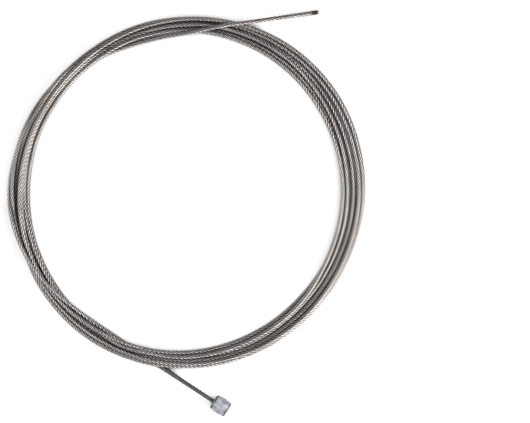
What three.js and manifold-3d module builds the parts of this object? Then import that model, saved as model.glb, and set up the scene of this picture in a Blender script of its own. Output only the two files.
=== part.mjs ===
// Bicycle shift cable: one stranded steel wire with a cylindrical head cast on its end,
// wound into a flat round coil. Millimetres, +Z up. The coil and the head lie on z = 0.
// The origin is under the middle of the whole object's box.

import * as THREE from 'three';
import { mergeVertices } from 'three/addons/utils/BufferGeometryUtils.js';
import Module from 'manifold-3d';

const wasm = await Module();
wasm.setup();

// Wire
const wireDiameter = 1.2;
const wireSides = 8;
const solidGap = 0.3; // left where one length of wire ends and the next solid begins

// Head, lying on its side
const headDiameter = 4.35;
const headLength = 4.7;
const shoulderFillet = 0.5; // on the side where the wire enters
const endFillet = 0.35;

// Coil: the space that its turns wander through
const coilInnerDiameter = 91;
const coilWidth = 8; // from the inner wall to the outer wall
const turnsAcross = 6; // in the lowest layer; each layer above nests one turn fewer
const coilLayers = 3;

// Free wire from the coil to the head: where it leaves, its heading, its length
const leadExitAngle = 263.2;
const leadHeading = -33;
const leadLength = 17.6;

// Free wire from the coil to its bare tip
const tailExitAngle = 69.3;
const tailHeading = 8.4;
const tailLength = 21.1;

// Hand-chosen routes. Each point is [mm past the coil's outer wall, mm to the left, climb],
// and climb goes from 0 at the route's height on the coil to 1 at its height at the far end.
const leadRoute = [
  [-3, 0, 0],
  [0, 0, 0.02],
  [3, 0, 0.12],
  [6, 0, 0.3],
  [9, 0, 0.53],
  [12, 0, 0.76],
  [15, 0, 0.94],
  [leadLength, 0, 1],
];
const tailRoute = [
  [-4, 0, 0],
  [0, 0, 0.06],
  [3, 0, 0.2],
  [6, 0, 0.38],
  [9, 0, 0.57],
  [12, 0, 0.75],
  [15, 0, 0.89],
  [18, 0, 0.98],
  [tailLength, 0, 1],
];

// Fineness of the round shapes
const coilSegments = 60;
const headSegments = 48;
const filletSteps = 4;
const crownStep = 40; // degrees of a turn's crown between two points of the coil's outline
const crownSteps = 2;
const wireStep = 2 * wireDiameter; // length of one straight stretch of the free wire

// Values that follow from the sizes above
const wireRadius = wireDiameter / 2;
const headRadius = headDiameter / 2;
const coilInnerRadius = coilInnerDiameter / 2;
const coilOuterRadius = coilInnerRadius + coilWidth;
const turnPitch = (coilWidth - wireDiameter) / (turnsAcross - 1);
const layerRise = Math.sqrt(wireDiameter ** 2 - (turnPitch / 2) ** 2);
const topLayerHeight = wireRadius + (coilLayers - 1) * layerRise;
const degree = Math.PI / 180;

const steelWire = new THREE.MeshStandardMaterial({
  color: new THREE.Color(0.42, 0.4, 0.39),
  roughness: 0.38,
  metalness: 1,
});
const headMetal = new THREE.MeshStandardMaterial({
  color: new THREE.Color(0.72, 0.74, 0.78),
  roughness: 0.32,
  metalness: 1,
});

function toSolid(geometry) {
  const bare = geometry.clone();
  bare.deleteAttribute('normal');
  bare.deleteAttribute('uv');
  const merged = mergeVertices(bare);
  const mesh = new wasm.Mesh({
    numProp: 3,
    vertProperties: new Float32Array(merged.attributes.position.array),
    triVerts: new Uint32Array(merged.index.array),
  });
  return new wasm.Manifold(mesh);
}

function toGeometry(solid) {
  const mesh = solid.getMesh();
  const geometry = new THREE.BufferGeometry();
  geometry.setAttribute('position', new THREE.BufferAttribute(mesh.vertProperties, mesh.numProp));
  geometry.setIndex(new THREE.BufferAttribute(mesh.triVerts, 1));
  geometry.computeVertexNormals();
  return geometry;
}

// Points of a circle from one angle to another, both in degrees
function arc(centreX, centreY, radius, from, to, steps) {
  const points = [];
  for (let i = 0; i <= steps; i += 1) {
    const angle = (from + ((to - from) * i) / steps) * degree;
    points.push(new THREE.Vector2(centreX + radius * Math.cos(angle), centreY + radius * Math.sin(angle)));
  }
  return points;
}

// Section of the coil: the crowns of its outermost turns, over a flat foot.
// grow widens it all round, for the space that the coil needs.
function coilSection(grow) {
  const side = Math.atan2(turnPitch / 2, layerRise) / degree; // slope of the stacked layers
  const radius = wireRadius + grow;
  const middle = coilInnerRadius + coilWidth / 2;
  const outerSide = [];
  for (let layer = 0; layer < coilLayers; layer += 1) {
    const turns = turnsAcross - layer;
    const reach = ((turns - 1) * turnPitch) / 2;
    const from = layer === 0 ? -90 : side - crownStep;
    const to = layer === coilLayers - 1 ? 90 + crownStep : side + crownStep;
    const steps = Math.round((to - from) / crownStep);
    outerSide.push(...arc(reach, wireRadius + layer * layerRise, radius, from, to, steps));
  }
  const crowns = [];
  const topTurns = turnsAcross - coilLayers + 1;
  for (let turn = 1; turn < topTurns - 1; turn += 1) {
    const x = ((topTurns - 1) / 2 - turn) * turnPitch;
    crowns.push(...arc(x, topLayerHeight, radius, 90 - crownStep, 90 + crownStep, crownSteps));
  }
  // the inner side mirrors the outer one, from the top back down to the foot
  const innerSide = outerSide.map((point) => new THREE.Vector2(-point.x, point.y)).reverse();
  const outline = [...outerSide, ...crowns, ...innerSide];
  const section = outline.map((point) => new THREE.Vector2(point.x + middle, point.y));
  section.push(section[0].clone());
  return section;
}

function coilGeometry(grow) {
  return new THREE.LatheGeometry(coilSection(grow), coilSegments).rotateX(90 * degree);
}

function makeCoil() {
  return new THREE.Mesh(toGeometry(toSolid(coilGeometry(0))), steelWire);
}

// Place on the coil's outer wall at an angle, with the level direction that the free wire takes
function coilExit(angle, heading) {
  const around = angle * degree;
  const point = new THREE.Vector3(coilOuterRadius * Math.cos(around), coilOuterRadius * Math.sin(around), 0);
  const along = new THREE.Vector3(Math.cos(heading * degree), Math.sin(heading * degree), 0);
  const left = new THREE.Vector3(-along.y, along.x, 0);
  return { point, along, left };
}

function routePoints(route, exit, startHeight, endHeight) {
  return route.map(([past, aside, climb]) => {
    const point = exit.point.clone();
    point.addScaledVector(exit.along, past);
    point.addScaledVector(exit.left, aside);
    point.z = startHeight + (endHeight - startHeight) * climb;
    return point;
  });
}

// Round wire along a route, cut off where the coil's own space begins
function makeFreeWire(points) {
  const curve = new THREE.CatmullRomCurve3(points, false, 'centripetal');
  const section = new THREE.Shape();
  for (let i = 0; i < wireSides; i += 1) {
    const angle = (i * 2 * Math.PI) / wireSides;
    const method = i === 0 ? 'moveTo' : 'lineTo';
    section[method](wireRadius * Math.cos(angle), wireRadius * Math.sin(angle));
  }
  const steps = Math.ceil(curve.getLength() / wireStep);
  const tube = new THREE.ExtrudeGeometry(section, { steps, extrudePath: curve });
  const free = toSolid(tube).subtract(toSolid(coilGeometry(solidGap)));
  return new THREE.Mesh(toGeometry(free), steelWire);
}

// Turned cylinder with a fillet at each end; its shoulder is at the origin and it runs along +X.
// The shoulder has a flat ring round the wire, which it seats on.
function makeHead() {
  const profile = [
    new THREE.Vector2(0, 0),
    new THREE.Vector2(wireRadius + solidGap, 0),
    ...arc(headRadius - shoulderFillet, shoulderFillet, shoulderFillet, -90, 0, filletSteps),
    ...arc(headRadius - endFillet, headLength - endFillet, endFillet, 0, 90, filletSteps),
    new THREE.Vector2(0, headLength),
  ];
  const geometry = new THREE.LatheGeometry(profile, headSegments).rotateZ(-90 * degree);
  return new THREE.Mesh(toGeometry(toSolid(geometry)), headMetal);
}

const coil = makeCoil();
coil.name = 'coil';

const leadExit = coilExit(leadExitAngle, leadHeading);
const leadPoints = routePoints(leadRoute, leadExit, wireRadius, headRadius);
const shoulder = leadPoints[leadPoints.length - 1].clone();
leadPoints[leadPoints.length - 1].addScaledVector(leadExit.along, -solidGap);
const headLead = makeFreeWire(leadPoints);
headLead.name = 'head_lead';

const head = makeHead();
head.name = 'cable_head';
head.position.copy(shoulder);
head.rotation.z = leadHeading * degree;

const tailExit = coilExit(tailExitAngle, tailHeading);
const tail = makeFreeWire(routePoints(tailRoute, tailExit, topLayerHeight, wireRadius));
tail.name = 'tail';

const shiftCable = new THREE.Group();
shiftCable.add(coil, headLead, head, tail);

const box = new THREE.Box3().setFromObject(shiftCable);
const middle = box.getCenter(new THREE.Vector3());
shiftCable.position.set(-middle.x, -middle.y, 0);

export default shiftCable;
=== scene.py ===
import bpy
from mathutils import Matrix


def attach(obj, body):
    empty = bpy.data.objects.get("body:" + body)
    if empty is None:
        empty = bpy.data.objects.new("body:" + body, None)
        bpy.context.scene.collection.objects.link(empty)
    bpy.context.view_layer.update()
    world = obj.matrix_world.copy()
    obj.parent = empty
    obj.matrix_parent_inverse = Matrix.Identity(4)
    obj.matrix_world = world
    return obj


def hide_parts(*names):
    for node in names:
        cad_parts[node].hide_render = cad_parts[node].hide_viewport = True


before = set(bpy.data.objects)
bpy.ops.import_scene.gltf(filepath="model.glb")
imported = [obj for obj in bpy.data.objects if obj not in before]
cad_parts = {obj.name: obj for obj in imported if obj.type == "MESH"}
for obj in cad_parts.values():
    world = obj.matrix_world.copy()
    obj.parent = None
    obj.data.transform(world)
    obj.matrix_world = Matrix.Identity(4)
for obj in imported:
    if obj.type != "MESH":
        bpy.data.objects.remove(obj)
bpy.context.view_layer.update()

import math
import bpy
import numpy as np
from mathutils import Vector

mm = 0.001
scene = bpy.context.scene
scene.view_settings.view_transform = "Standard"

# Straight above the coil, through a long lens, framed as the photograph is
cameraView = {
    "middle": (23.58 * mm, 0.45 * mm),  # the point of the floor in the middle of the picture
    "frameWidth": 157.74 * mm,  # width of the picture at the height of the cable
    "height": 1.6,
    "sensor": 36,
    "clipEnd": 20,
}


# Focal length = sensor width * height / width of the picture
def addCamera(view):
    camera = bpy.data.objects.new("camera", bpy.data.cameras.new("camera"))
    camera.location = (*view["middle"], view["height"])
    camera.data.sensor_width = view["sensor"]
    camera.data.lens = view["sensor"] * view["height"] / view["frameWidth"]
    camera.data.clip_end = view["clipEnd"]
    scene.collection.objects.link(camera)
    scene.camera = camera


addCamera(cameraView)
print("camera made")

cable = {
    "diameter": 1.2 * mm,
    "length": 2.1,
    "outerWires": 5,
    "layLength": 6.25 * mm,  # one full turn of an outer wire round the cable
    "crest": 0.63 * mm,  # radius over the outer wires
    "lift": 0.03 * mm,  # what the crests add to half the diameter, above the floor
    "core": 0.36 * mm,  # radius of the core, which shows in the grooves between them
    "pointsPerWire": 4,
    "ringStep": 0.44 * mm,
    "buried": 0.6 * mm,  # length before the first point of the lead, inside the head
    "pointsPerKey": 4,  # of the lead and the tail
    "joinPoints": 4,  # points left out where the coil gives way to the tail
    "fineStep": 0.2 * mm,  # spacing at which the whole route is softened
    "fineRounds": 30,
    "tipLength": 2.6 * mm,  # the fused end
    "tipRadius": 0.97,  # of the crest's radius
    "dome": 0.35 * mm,  # its rounded last bit
    # the dome's rings, (share of its length, share of the radius)
    "domeRings": [(0.4, 0.94), (0.72, 0.76), (0.92, 0.46), (1.0, 0.18)],
    "domeStep": 0.1 * mm,  # what each of them adds to the length in the map
}

# From just inside the head down to the coil's outer wall, and from the coil to the tip
leadPoints = [
    (0.008426, -0.056024, 0.002270),
    (0.006246, -0.054608, 0.002165),
    (0.003730, -0.052974, 0.001860),
    (0.001214, -0.051340, 0.001465),
    (-0.001302, -0.049706, 0.001083),
    (-0.003818, -0.048072, 0.000789),
    (-0.006334, -0.046438, 0.000632),
]
tailPoints = [
    (0.018911, 0.056732, 0.002459),
    (0.021879, 0.057170, 0.002182),
    (0.024847, 0.057608, 0.001826),
    (0.027814, 0.058046, 0.001450),
    (0.030782, 0.058485, 0.001094),
    (0.033750, 0.058923, 0.000818),
    (0.036718, 0.059361, 0.000640),
    (0.039785, 0.059814, 0.000600),
]

# The coil, in mm and degrees
coil = {
    "centre": (0, 6.6855),
    "firstAngle": 260,
    "keyStep": 10,
    "samplesPerKey": 7,
    # each turn's radius, at every key clockwise from the first angle
    "radii": [
        [
            52.2, 49.15, 47.85, 47.9, 48.9, 50.4, 51.45, 52.3, 52.4, 51.8, 50.9, 50.45,
            50, 49.7, 49.55, 49.7, 50, 50.15, 50.15, 50.1, 50.05, 50.25, 50.2, 50.05,
            49.95, 49.9, 49.9, 49.9, 49.85, 49.8, 49.95, 50.1, 50.3, 50.5, 50.6, 50.7,
        ],
        [
            50.7, 50.6, 50.5, 50.3, 50.1, 49.65, 49.4, 49.2, 48.7, 48.5, 48.35, 48.1,
            48.1, 48.1, 48.3, 48.65, 48.95, 49.3, 49.6, 49.55, 49.5, 49.35, 49, 48.6,
            48.35, 48.15, 48.1, 48.1, 48.1, 48.2, 48.35, 48.5, 48.9, 49.25, 49.5, 49.7,
        ],
        [
            50.1, 50.1, 49.6, 48.85, 48.25, 47.85, 47.55, 47.25, 46.95, 46.85, 46.9, 46.9,
            46.95, 47.15, 47.3, 47.55, 47.6, 47.7, 47.5, 47.3, 47.15, 47, 46.85, 46.75,
            46.75, 46.75, 46.8, 46.75, 46.75, 46.95, 47.55, 47.95, 48.3, 48.65, 49.1, 49.6,
        ],
        [
            49.6, 49.35, 49.3, 49.25, 48.85, 48.5, 48.3, 48.15, 48, 48, 48, 47.95,
            47.9, 47.9, 48, 48.05, 48.2, 48.35, 48.3, 48.2, 48.2, 48.1, 47.9, 47.6,
            47.55, 47.4, 47.4, 47.3, 47.15, 46.9, 46.7, 46.8, 47, 47.3, 47.75, 48.15,
        ],
        [
            48.5, 48.8, 49.15, 49.5, 49.85, 50, 50, 49.7, 49.3, 48.95, 48.75, 48.65,
            48.7, 48.9, 49.4, 50, 50.5, 51.05, 51.5, 52, 52.45, 52.8, 53, 53.1,
            53, 52.85, 52.75, 52.45, 52.2, 52.05, 51.95, 52, 52.1, 52.15, 52.25, 52.25,
        ],
        [
            52.4, 52.4, 52.4, 52.25, 51.9, 51.6, 50.9, 50.7, 50.6, 50.2, 50.1, 50.0,
            50.0, 50.05, 50.2, 50.6, 50.9, 51.0, 51.05, 51.2, 51.3, 51.5, 51.65, 51.7,
            51.65, 51.65, 51.65, 51.5, 51.4, 51.35, 51.45, 51.5, 51.5, 51.55, 51.6, 51.6,
        ],
        [
            51.55, 51.45, 51.3, 51.15, 51, 50.95, 51.15, 51.45, 51.55, 51.5, 51.3, 50.8,
            50.0, 48.5, 46.95, 46.1, 46.05, 46.7, 49.15, 53.2,
        ],
    ],
    # where each turn starts to settle from: (angle, mm above the floor's layer)
    "layers": [
        [
            (260, 0), (240, 0), (232, 0.3), (225, 1.6), (218, 2.3), (200, 2.4), (190, 1.6),
            (182, 0.7), (172, 0), (70, 0), (-60, 0), (-80, 0.7), (-90, 0.9),
        ],
        [
            (260, 1.3), (252, 0.9), (245, 0.2), (220, 0.2), (205, 1), (190, 1), (170, 0.8),
            (160, 0.2), (150, 0), (120, 0), (110, 0.4), (100, 0.9), (60, 1), (45, 0.4),
            (30, 0.8), (0, 0.9), (-30, 0.3), (-60, 0.2), (-80, 0.2), (-90, 0),
        ],
        [
            (260, 0.8), (252, 1), (244, 0.7), (236, 0), (225, 0), (200, 0.4), (180, 0),
            (120, 0), (110, 0.6), (100, 0.9), (-40, 0.9), (-90, 1),
        ],
        [
            (260, 1.2), (250, 1.3), (240, 0.8), (230, 0.5), (210, 0.6), (190, 0.3),
            (170, 0), (-90, 0),
        ],
        [
            (260, 0.6), (250, 2.2), (244, 2.2), (235, 1.4), (190, 1), (180, 1.8), (130, 1.8),
            (110, 1.1), (70, 1), (60, 0.4), (50, 0), (-80, 0), (-92, 0.5), (-98, 1.2),
        ],
        [
            (260, 1.2), (253, 0.6), (244, 0), (175, 0), (165, 1), (100, 1), (90, 0.2),
            (80, 0), (0, 0), (-15, 0.9), (-90, 1),
        ],
        [
            (260, 1.6), (240, 1.1), (220, 1.1), (210, 1.1), (150, 1), (143, 0.3), (138, 0),
            (100, 0), (95, 0.5), (90, 1.2), (84, 2.2), (70, 2.4),
        ],
    ],
    # stretches that lie under other turns, (turn, from, to): only loosely held to their radius
    "hidden": [
        (0, 171, 66), (1, 158, 118), (2, 262, 222), (3, 256, 222), (3, 166, 104), (3, 18, -38),
        (5, 96, 74), (6, 146, 118),
    ],
    "radiusRounds": 3,  # softening of the radii
    "holdRounds": 12,  # and of the edges of the hidden stretches
    "endHeight": 2.5,  # where the tail begins
    "rounds": 1500,
    "lastRounds": 100,  # the last of them, without sinking
    "sinking": 0.003,  # in each round
    "heightSteps": 4,  # straightening steps in height to each round
    "stiff": 0.35,  # share of a bend that a step takes out
    "lastStiff": 0.1,
    "pull": (0.02, 0.28),  # towards its radius: what every stretch has, what a held one adds
    "heldGive": 0.8,  # share of a sideways push that a held stretch doesn't follow
    "push": 0.45,  # share of an overlap by which each of two turns gives way
    "pushSteps": 2,
}


# Cubic through evenly spaced keys, value and slope continuous: each slope is half the
# difference of the two neighbouring keys
def throughKeys(keys, steps):
    keys = np.asarray(keys, float)
    slopes = np.gradient(keys, axis=0)
    place = np.linspace(0, len(keys) - 1, (len(keys) - 1) * steps + 1)
    left = np.minimum(place.astype(int), len(keys) - 2)
    t = place - left
    if keys.ndim > 1:
        t = t[:, None]
    a, b, slopeA, slopeB = keys[left], keys[left + 1], slopes[left], slopes[left + 1]
    return ((2 * t**3 - 3 * t**2 + 1) * a + (t**3 - 2 * t**2 + t) * slopeA
            + (3 * t**2 - 2 * t**3) * b + (t**3 - t**2) * slopeB)


# Running mean with binomial weights, ends kept, done times over
def softened(values, times):
    for _ in range(times):
        inner = (values[:-2] + 2 * values[1:-1] + values[2:]) / 4
        values = np.concatenate([values[:1], inner, values[-1:]])
    return values


# What a bend takes to be straight: the mean of the two neighbours less the value itself
def bend(values):
    return (values[:-2] + values[2:]) / 2 - values[1:-1]


# Lets the turns settle on each other. At each angle the turns are discs in a plane of radius and
# height. Each round they sink a little, return towards their own radius, straighten along the
# wire, and are pushed apart wherever two centres are nearer than a diameter; none goes below the
# floor.
def settleTurns(spec, diameter):
    stepAngle = spec["keyStep"] / spec["samplesPerKey"]
    perTurn = round(360 / stepAngle)
    firstAngle = spec["firstAngle"]
    keys = np.concatenate([np.array(turn) for turn in spec["radii"]])
    own = softened(throughKeys(keys, spec["samplesPerKey"]), spec["radiusRounds"])
    turned = np.arange(len(own)) * stepAngle  # degrees travelled
    layer = np.zeros_like(own)
    hold = np.ones_like(own)
    for turn, stretch in enumerate(spec["layers"]):
        here = (turned >= 360 * turn) & (turned < 360 * (turn + 1))
        places = [360 * turn + firstAngle - angle for angle, _ in stretch]
        layer[here] = np.interp(turned[here], places, [height for _, height in stretch])
    for turn, fromAngle, toAngle in spec["hidden"]:
        start, end = 360 * turn + firstAngle - fromAngle, 360 * turn + firstAngle - toAngle
        hold[(turned >= start) & (turned <= end)] = 0
    hold = softened(hold, spec["holdRounds"])

    turns = len(spec["radii"])
    missing = turns * perTurn - len(own)
    far = 1000 + 10 * np.arange(missing)  # places past the end, out of reach

    def byTurn(values, filler):
        return np.concatenate([values, filler]).reshape(turns, perTurn)

    radius = own.copy()
    height = diameter / 2 + layer
    pull = spec["pull"][0] + spec["pull"][1] * hold
    give = byTurn(1 - spec["heldGive"] * hold, np.ones(missing))
    for roundNumber in range(spec["rounds"]):
        sinks = roundNumber < spec["rounds"] - spec["lastRounds"]
        stiff = spec["stiff"] if sinks else spec["lastStiff"]
        height[1:-1] -= spec["sinking"] if sinks else 0
        radius += pull * (own - radius)
        drift = radius - own
        for _ in range(spec["heightSteps"]):
            height[1:-1] += stiff * bend(height)
        drift[1:-1] += stiff * bend(drift)
        radius = own + drift
        radius[0], radius[-1] = own[0], own[-1]
        height[0], height[-1] = diameter / 2, spec["endHeight"]
        for _ in range(spec["pushSteps"]):
            across = byTurn(radius, far)
            up = byTurn(height, far)
            moveAcross = np.zeros_like(across)
            moveUp = np.zeros_like(up)
            for first in range(turns - 1):
                gapAcross = across[first + 1:] - across[first]
                gapUp = up[first + 1:] - up[first]
                apart = np.hypot(gapAcross, gapUp) + 1e-9
                short = np.clip(diameter - apart, 0, None) * spec["push"]
                pushAcross, pushUp = gapAcross / apart * short, gapUp / apart * short
                moveAcross[first] -= pushAcross.sum(axis=0) * give[first]
                moveAcross[first + 1:] += pushAcross * give[first + 1:]
                moveUp[first] -= pushUp.sum(axis=0)
                moveUp[first + 1:] += pushUp
            radius += moveAcross.ravel()[:len(own)]
            height += moveUp.ravel()[:len(own)]
            height = np.maximum(height, diameter / 2)
    angle = np.radians(firstAngle - turned)
    centreX, centreY = spec["centre"]
    return np.column_stack([centreX + radius * np.cos(angle), centreY + radius * np.sin(angle),
                            height])


# Distance travelled along a polyline at each of its points
def travelled(points):
    return np.concatenate([[0], np.cumsum(np.linalg.norm(np.diff(points, axis=0), axis=1))])


# Points a fixed length apart on a polyline
def evenPoints(points, step):
    length = travelled(points)
    places = np.linspace(0, length[-1], int(round(length[-1] / step)) + 1)
    return np.column_stack([np.interp(places, length, points[:, axis]) for axis in range(3)])


# The whole route in metres: out of the head, the lead, the settled turns, the tail, with its
# joins softened. It ends where the tip's dome begins.
def cableRoute(spec):
    turns = settleTurns(coil, spec["diameter"] / mm) * mm
    lead = throughKeys(leadPoints, spec["pointsPerKey"])
    tail = throughKeys(tailPoints, spec["pointsPerKey"])
    first = lead[0] - lead[1]
    start = lead[0] + first / np.linalg.norm(first) * spec["buried"]
    stretches = [[start], lead, turns[1:-spec["joinPoints"]], tail]
    route = np.concatenate(stretches) + [0, 0, spec["lift"]]
    fine = softened(evenPoints(route, spec["fineStep"]), spec["fineRounds"])
    return evenPoints(fine[:-round(spec["dome"] / spec["fineStep"])], spec["ringStep"])


# Stranded surface on a grid of two parameters, along the cable and round it. A ring's point is
# centre + reach * (cos(a) * sideways + sin(a) * upwards); a grows by one turn in each lay length,
# right-handed. reach follows the outline of round wires that touch each other in a ring:
# ringRadius * cos(f) + sqrt(wireRadius^2 - ringRadius^2 * sin(f)^2), f the angle from a wire's
# crest, and never goes below the core.
def strandedTube(route, spec):
    tangent = np.gradient(route, axis=0)
    tangent /= np.linalg.norm(tangent, axis=1)[:, None]
    sideways = np.cross(tangent, [0, 0, 1])
    sideways /= np.linalg.norm(sideways, axis=1)[:, None]
    upwards = np.cross(sideways, tangent)
    along = travelled(route)
    perWire = spec["pointsPerWire"]
    sides = spec["outerWires"] * perWire
    column = np.arange(sides)
    half = math.pi / spec["outerWires"]
    ringRadius = spec["crest"] / (1 + math.sin(half))
    wireRadius = ringRadius * math.sin(half)
    fromCrest = half * (2 * (column % perWire) / perWire - 1)
    outline = ringRadius * np.cos(fromCrest) + np.sqrt(
        np.clip(wireRadius**2 - (ringRadius * np.sin(fromCrest))**2, 0, None))
    reach = np.maximum(outline, spec["core"])
    # fused tip: the grooves fill up, and the last rings close to a blunt dome
    left = along[-1] - along
    fused = np.clip(1 - left / spec["tipLength"], 0, 1)[:, None]
    reach = reach[None, :] * (1 - fused) + fused * spec["tipRadius"] * spec["crest"]
    angle = 2 * math.pi * (column[None, :] / sides + along[:, None] / spec["layLength"])
    # sideways x upwards points back along the wire, so the minus sign makes it right-handed
    offset = (np.cos(angle)[..., None] * sideways[:, None, :]
              - np.sin(angle)[..., None] * upwards[:, None, :])
    rings = route[:, None, :] + reach[..., None] * offset
    lastRing = rings[-1] - route[-1]
    for past, share in spec["domeRings"]:
        cap = route[-1] + past * spec["dome"] * tangent[-1] + share * lastRing
        rings = np.concatenate([rings, cap[None]])
        along = np.append(along, along[-1] + spec["domeStep"])
    return rings, along


# Quads between neighbouring rings that run right-handed round the way along, and a fan to one
# point at each end. In the map u goes round once and v is metres along the piece.
def tubeMesh(name, rings, along, endPoints):
    count, sides = rings.shape[:2]
    row, column = np.meshgrid(np.arange(count - 1), np.arange(sides), indexing="ij")
    nextColumn = (column + 1) % sides
    quads = np.stack([row * sides + column, row * sides + nextColumn,
                      (row + 1) * sides + nextColumn, (row + 1) * sides + column], axis=-1)
    vertices = np.concatenate([rings.reshape(-1, 3), endPoints])
    startPoint, endPoint = count * sides, count * sides + 1
    ring = np.arange(sides)
    nextRing = (ring + 1) % sides
    startFan = np.column_stack([np.full(sides, startPoint), nextRing, ring])
    last = (count - 1) * sides
    endFan = np.column_stack([np.full(sides, endPoint), last + ring, last + nextRing])
    mesh = bpy.data.meshes.new(name)
    faces = quads.reshape(-1, 4).tolist() + startFan.tolist() + endFan.tolist()
    mesh.from_pydata(vertices.tolist(), [], faces)
    cornerU = np.stack([column, column + 1, column + 1, column], axis=-1) / sides
    cornerV = along[np.stack([row, row, row + 1, row + 1], axis=-1)]
    startU = np.stack([ring + 0.5, ring + 1, ring], axis=-1) / sides
    endU = np.stack([ring + 0.5, ring, ring + 1], axis=-1) / sides
    u = np.concatenate([cornerU.ravel(), startU.ravel(), endU.ravel()])
    v = np.concatenate([cornerV.ravel(), np.full(startU.size, along[0]),
                        np.full(endU.size, along[-1])])
    layer = mesh.uv_layers.new(name="cableLength")
    layer.data.foreach_set("uv", np.column_stack([u, v]).ravel())
    mesh.polygons.foreach_set("use_smooth", np.ones(len(mesh.polygons), bool))
    mesh.update()
    made = bpy.data.objects.new(name, mesh)
    scene.collection.objects.link(made)
    return made


route = cableRoute(cable)
rings, along = strandedTube(route, cable)
cableWire = tubeMesh("cable_wire", rings, along, np.array([route[0], rings[-1].mean(axis=0)]))
cableEnd = float(along[-1])
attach(cableWire, "root")
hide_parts("coil", "head_lead", "tail")
print("cable made, length", round(cableEnd, 4), "faces", len(cableWire.data.polygons))

head = {
    "axis": (0.83867, -0.54464, 0),  # from the shoulder to the far end
    "back": 0.2 * mm,  # from the first point of the lead to the shoulder
    "segments": 96,
    # profile, (distance from the shoulder, radius) in mm: the wire's seat, the flat ring, the
    # rounded shoulder, the barrel, the rounded far end with its shallow dimple
    "profile": [
        (0.27, 0.53), (0.05, 0.7), (0.0, 0.78), (0.0, 1.27), (0.0, 1.71), (0.03, 1.9),
        (0.14, 2.08), (0.31, 2.22), (0.54, 2.29), (0.81, 2.3), (1.72, 2.3), (2.58, 2.3),
        (3.44, 2.3), (4.3, 2.3), (4.62, 2.29), (4.79, 2.23), (4.92, 2.13), (5.02, 1.98),
        (5.05, 1.8), (5.05, 1.37), (5.04, 1.16), (4.99, 1.0), (4.94, 0.74), (4.93, 0.37),
    ],
    "edges": (1.96 * mm, 6.42 * mm),  # the two rounded edges, by distance along the profile
}


# Turned surface: each profile point swept round the axis,
# place = shoulder + distance * axis + radius * (cos(a) * sideways + sin(a) * upwards)
def makeHead(spec, shoulder):
    axis = np.array(spec["axis"])
    axis = axis / np.linalg.norm(axis)
    upwards = np.array([0.0, 0.0, 1.0])
    sideways = np.cross(upwards, axis)
    profile = np.array(spec["profile"]) * mm
    distance, radius = profile[:, 0, None, None], profile[:, 1, None, None]
    angle = np.linspace(0, 2 * math.pi, spec["segments"], endpoint=False)
    outwards = np.cos(angle)[:, None] * sideways + np.sin(angle)[:, None] * upwards
    rings = shoulder + distance * axis + radius * outwards[None]
    ends = np.array([rings[0].mean(axis=0), rings[-1].mean(axis=0)])
    return tubeMesh("cable_head_body", rings, travelled(profile), ends)


shoulder = (np.array(leadPoints[0]) + [0, 0, cable["lift"]]
            - head["back"] * np.array(head["axis"]))
cableHead = makeHead(head, shoulder)
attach(cableHead, "root")
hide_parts("cable_head")
print("head made")


class Value:
    # Wraps a node socket, so that an expression on values adds its Math nodes
    def __init__(self, tree, socket=None):
        self.tree = tree
        self.socket = socket

    # Any node: its type, its settings, its sockets' values or links, and which output is wanted,
    # by number or name
    def node(self, nodeType, settings=None, sockets=None, output=0):
        made = self.tree.nodes.new(nodeType)
        for name, setting in (settings or {}).items():
            setattr(made, name, setting)
        for name, value in (sockets or {}).items():
            if isinstance(value, Value):
                self.tree.links.new(value.socket, made.inputs[name])
            else:
                made.inputs[name].default_value = value
        return Value(self.tree, made.outputs[output]) if made.outputs else None

    def maths(self, operation, *values):
        return self.node("ShaderNodeMath", {"operation": operation}, dict(enumerate(values)))

    def __add__(self, other):
        return self.maths("ADD", self, other)

    def __radd__(self, other):
        return self.maths("ADD", other, self)

    def __sub__(self, other):
        return self.maths("SUBTRACT", self, other)

    def __rsub__(self, other):
        return self.maths("SUBTRACT", other, self)

    def __mul__(self, other):
        return self.maths("MULTIPLY", self, other)

    def __rmul__(self, other):
        return self.maths("MULTIPLY", other, self)

    # 0 below low, 1 above high, smooth between
    def step(self, low, high):
        return self.node("ShaderNodeMapRange", {"interpolation_type": "SMOOTHSTEP"},
                         {"Value": self, "From Min": low, "From Max": high})

    # goes from one colour to the other as this value goes from 0 to 1
    def mix(self, colourA, colourB):
        return self.node("ShaderNodeMix", {"data_type": "RGBA"},
                         {0: self, 6: colourA, 7: colourB}, output=2)

    def noise(self, coordinates, scale, detail):
        return self.node("ShaderNodeTexNoise", None,
                         {"Vector": coordinates, "Scale": scale, "Detail": detail})

    # noise that is stretched by its own scale in u and in v
    def stretchedNoise(self, u, v, scales, detail):
        place = self.node("ShaderNodeCombineXYZ", None, {0: u * scales[0], 1: v * scales[1]})
        return self.noise(place, 1.0, detail)

    # 1 in the open, less where other surfaces are within reach
    def openness(self, reach):
        return self.node("ShaderNodeAmbientOcclusion", {"samples": 8}, {"Distance": reach},
                         output="AO")

    # u or v of the piece's own map
    def mapPart(self, part):
        uv = self.node("ShaderNodeUVMap", {"uv_map": "cableLength"})
        return self.node("ShaderNodeSeparateXYZ", None, {0: uv}, output=part)

    def bump(self, height, distance):
        return self.node("ShaderNodeBump", None, {"Height": height, "Distance": distance})

    def surface(self, shader):
        self.node("ShaderNodeOutputMaterial", None, {"Surface": shader})


def newMaterial(name):
    material = bpy.data.materials.new(name)
    material.use_nodes = True
    material.node_tree.nodes.clear()
    return material, Value(material.node_tree)


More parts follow.
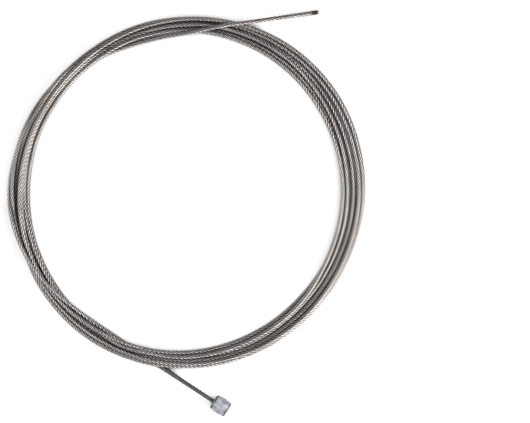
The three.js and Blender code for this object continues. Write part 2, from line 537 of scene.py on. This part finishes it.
wireFinish = {
    "steel": (0.70, 0.67, 0.65, 1),
    "brown": (0.45, 0.39, 0.35, 1),  # painted warm reflection, in patches
    # painted shade, for the grooves between the wires and the crevices between the turns
    "groove": (0.06, 0.054, 0.051, 1),
    "tip": (0.045, 0.032, 0.026, 1),
    "tipEnd": (0.50, 0.45, 0.42, 1),
    "black": (0, 0, 0, 1),
    # noise: two scales are for u and v of the map, one is for the place on the object
    "toneScale": (7.3, 140),
    "marksScale": (130, 260),
    "broadScale": 55,
    "blotchScale": 900,
    # tone: the least, and what each noise adds
    "tone": 0.35,
    "wireTone": 0.95,
    "marksTone": 0.2,
    "blotchTone": 0.15,
    "nearHeadDarkening": 0.62,  # what it takes away near the head
    "nearHeadLength": 40 * mm,
    "nearHeadStep": (0.6, 1),  # shares of it, full and gone
    # the painted warm reflection and the painted shade at their strongest, and where they begin
    # and are full
    "warm": 0.55,
    "warmStep": (0.42, 0.75),
    "grooveShade": 0.92,
    "grooveShadeStep": (0.2, 0.82),  # 0 is a wire's crest, 1 its groove
    # painted shade where turns touch
    "creviceShade": 0.8,
    "creviceShadeReach": 1.2 * mm,
    "creviceShadeStep": (0.15, 0.55),
    # the tip, in shares of its length and of the bare end's
    "burntStep": (1.1, 0.75),
    "bareEnd": 0.5 * mm,  # lighter last bit of the tip
    "bareStep": (1.5, 0.7),
    "tipMetallic": 0.6,  # what burning takes away
    "roughness": 0.26,
    "marksRoughness": 0.12,
    "grooveRoughness": 0.2,
    "tipRoughness": 0.3,
    "marksHeight": 0.0008,
    "blotchHeight": 0.004,
    "bumpDistance": 1 * mm,
}


# Drawn steel wires: tone varies from wire to wire and along each, fine draw marks run with the
# wires, warm patches are a painted reflection, painted shade darkens the grooves and the
# crevices, the first stretch from the head is darker, and the fused tip is burnt brown
def wireMaterial(spec, wireCount, length, tipLength):
    material, start = newMaterial("drawn_steel_wire")
    u, v = start.mapPart(0), start.mapPart(1)
    position = start.node("ShaderNodeTexCoord", output="Object")
    wireCounted = u * wireCount
    wireNumber = start.maths("FLOOR", wireCounted)
    fromCrest = start.maths("ABSOLUTE", wireCounted - wireNumber - 0.5) * 2
    # painted shade in the grooves between the wires, which also adds roughness there
    grooveShade = fromCrest.step(*spec["grooveShadeStep"])
    wireTone = start.stretchedNoise(wireNumber, v, spec["toneScale"], 1)
    marks = start.stretchedNoise(u, v, spec["marksScale"], 2)
    broad = start.noise(position, spec["broadScale"], 3)
    blotch = start.noise(position, spec["blotchScale"], 2)
    # warm patches of painted reflection
    warm = broad.step(*spec["warmStep"]) * spec["warm"]
    # the first stretch from the head is darker
    nearHead = 1 - v.step(*[spec["nearHeadLength"] * share for share in spec["nearHeadStep"]])
    varied = (spec["tone"] + wireTone * spec["wireTone"] + marks * spec["marksTone"]
              + blotch * spec["blotchTone"])
    tone = varied * (1 - nearHead * spec["nearHeadDarkening"])
    toneAndWarmReflection = tone.mix(spec["black"], warm.mix(spec["steel"], spec["brown"]))
    # painted shade darkens the grooves
    withPaintedShade = (grooveShade * spec["grooveShade"]).mix(toneAndWarmReflection, spec["groove"])
    # painted shade also darkens the crevices where turns touch
    creviceShade = 1 - start.openness(spec["creviceShadeReach"]).step(*spec["creviceShadeStep"])
    withPaintedShade = (creviceShade * spec["creviceShade"]).mix(withPaintedShade, spec["groove"])
    fused = v.step(*[length - tipLength * share for share in spec["burntStep"]])
    bare = v.step(*[length - spec["bareEnd"] * share for share in spec["bareStep"]])
    shader = start.node("ShaderNodeBsdfPrincipled", None, {
        "Base Color": bare.mix(fused.mix(withPaintedShade, spec["tip"]), spec["tipEnd"]),
        "Metallic": 1 - fused * spec["tipMetallic"],
        "Roughness": (spec["roughness"] + marks * spec["marksRoughness"]
                      + grooveShade * spec["grooveRoughness"] + fused * spec["tipRoughness"]),
        "Normal": start.bump(marks * spec["marksHeight"] + blotch * spec["blotchHeight"],
                             spec["bumpDistance"]),
    })
    start.surface(shader)
    return material


headFinish = {
    "plating": (0.70, 0.73, 0.79, 1),
    "dull": (0.22, 0.235, 0.265, 1),
    # painted dark reflection at the edges and painted shade low down
    "darkReflectionAndShade": (0.06, 0.06, 0.065, 1),
    "cloudScale": 700,
    "pitScale": 4200,
    "rippleScale": 420,
    # how much each dulls, and where it begins and is full
    "cloudDull": 0.65,
    "cloudStep": (0.42, 0.7),
    "pitDull": 0.35,
    "pitStep": (0.58, 0.72),
    "edge": 0.55 * mm,  # half the width of the painted dark reflection at the rounded edges
    "edgeDarkReflection": 0.85,
    "lowShade": 0.95,
    "lowReach": 15 * mm,
    "lowStep": (0.6, 0.92),
    "metallic": 0.8,
    "roughness": 0.42,
    "cloudRoughness": 0.12,
    "rippleHeight": 1.6,
    "pitHeight": 0.25,
    "bumpDistance": 0.05 * mm,
}


# Cast and plated: cloudy tone, fine pits, soft ripples left by the mould, a painted dark
# reflection along the rounded edges and painted shade low down
def headMaterial(spec, edges):
    material, start = newMaterial("plated_cast_head")
    v = start.mapPart(1)
    position = start.node("ShaderNodeTexCoord", output="Object")
    cloud = start.noise(position, spec["cloudScale"], 3)
    pits = start.noise(position, spec["pitScale"], 2)
    ripple = start.noise(position, spec["rippleScale"], 1)
    dull = (cloud.step(*spec["cloudStep"]) * spec["cloudDull"]
            + pits.step(*spec["pitStep"]) * spec["pitDull"])
    # painted dark reflection along the rounded edges
    atEdges = [1 - start.maths("ABSOLUTE", v - edge).step(0, spec["edge"]) for edge in edges]
    # painted shade low down, where other surfaces are near
    low = 1 - start.openness(spec["lowReach"]).step(*spec["lowStep"])
    darkReflectionAndShade = start.maths("MAXIMUM", sum(atEdges) * spec["edgeDarkReflection"], low * spec["lowShade"])
    shader = start.node("ShaderNodeBsdfPrincipled", None, {
        "Base Color": darkReflectionAndShade.mix(dull.mix(spec["plating"], spec["dull"]), spec["darkReflectionAndShade"]),
        "Metallic": spec["metallic"],
        "Roughness": spec["roughness"] + cloud * spec["cloudRoughness"],
        "Normal": start.bump(ripple * spec["rippleHeight"] + pits * spec["pitHeight"],
                             spec["bumpDistance"]),
    })
    start.surface(shader)
    return material


cableWire.data.materials.append(
    wireMaterial(wireFinish, cable["outerWires"], cableEnd, cable["tipLength"]))
cableHead.data.materials.append(headMaterial(headFinish, head["edges"]))
print("materials made")

studio = {
    "floorSize": 4,
    "floor": 0.7,
    "floorSeen": 0.32,  # its grey where the camera sees it, which keeps the shadows
    "floorGlow": 0.78,  # added there, so that it shows white
    "floorMirrored": 0.1,  # added to its grey in reflections
    "gapShade": 0.96,  # painted shade: darkness of the narrow gaps between the turns
    "gapReach": 3 * mm,
    "gapStep": (0.42, 0.6),
    "world": (0.07, 0.07, 0.073, 1),
    # name, azimuth and height of the lamp in degrees, distance, width, length, watts, colour
    "lamps": [
        ("lamp_right", -24, 34, 0.8, 0.85, 0.8, 10.8, (1, 0.985, 0.97)),
        ("lamp_left", 194, 33, 0.8, 0.8, 0.8, 4.0, (1, 0.985, 0.97)),
        ("lamp_back", 92, 12, 0.8, 0.9, 0.25, 0.2, (1, 0.99, 0.98)),
        ("lamp_above", 57, 48, 0.9, 0.4, 0.4, 1.1, (0.97, 0.98, 1)),
    ],
}


# One square, pale grey to the light and white to the camera
def addFloor(spec):
    half = spec["floorSize"] / 2
    corners = [(-half, -half, 0), (half, -half, 0), (half, half, 0), (-half, half, 0)]
    mesh = bpy.data.meshes.new("floor")
    mesh.from_pydata(corners, [], [(0, 1, 2, 3)])
    floor = bpy.data.objects.new("floor", mesh)
    scene.collection.objects.link(floor)
    material, start = newMaterial("pale_floor")
    seen = start.node("ShaderNodeLightPath", output="Is Camera Ray")
    mirrored = start.maths("MAXIMUM", start.node("ShaderNodeLightPath", output="Is Glossy Ray"),
                           start.node("ShaderNodeLightPath", output="Is Transmission Ray"))
    # painted shade in the narrow gaps between the turns, on the floor as seen and as mirrored
    gap = 1 - start.openness(spec["gapReach"]).step(*spec["gapStep"])
    pale = (spec["floor"] + seen * (spec["floorSeen"] - spec["floor"])
            + mirrored * spec["floorMirrored"])
    shaded = 1 - (seen + mirrored) * spec["gapShade"] * gap
    start.surface(start.node("ShaderNodeBsdfPrincipled", None, {
        "Base Color": pale * shaded,
        "Roughness": 1.0,
        "Specular IOR Level": 0.0,
        "Emission Color": seen * spec["floorGlow"] * shaded,
        "Emission Strength": 1.0,
    }))
    mesh.materials.append(material)


# A rectangular lamp on a sphere round the cable, turned to face it:
# place = distance * (cos(azimuth) * cos(height), sin(azimuth) * cos(height), sin(height))
def addLamp(name, azimuth, height, distance, width, length, watts, colour):
    lamp = bpy.data.lights.new(name, "AREA")
    lamp.shape = "RECTANGLE"
    lamp.size, lamp.size_y = width, length
    lamp.energy = watts
    lamp.color = colour
    around, up = math.radians(azimuth), math.radians(height)
    place = distance * Vector((math.cos(around) * math.cos(up),
                               math.sin(around) * math.cos(up), math.sin(up)))
    made = bpy.data.objects.new(name, lamp)
    made.location = place
    made.rotation_euler = (-place).to_track_quat("-Z", "Y").to_euler()
    scene.collection.objects.link(made)


def addWorld(spec):
    world = bpy.data.worlds.new("studio")
    world.use_nodes = True
    world.node_tree.nodes.clear()
    start = Value(world.node_tree)
    background = start.node("ShaderNodeBackground", None, {"Color": spec["world"]})
    start.node("ShaderNodeOutputWorld", None, {"Surface": background})
    scene.world = world


addFloor(studio)
addWorld(studio)
for lamp in studio["lamps"]:
    addLamp(*lamp)
print("studio made")
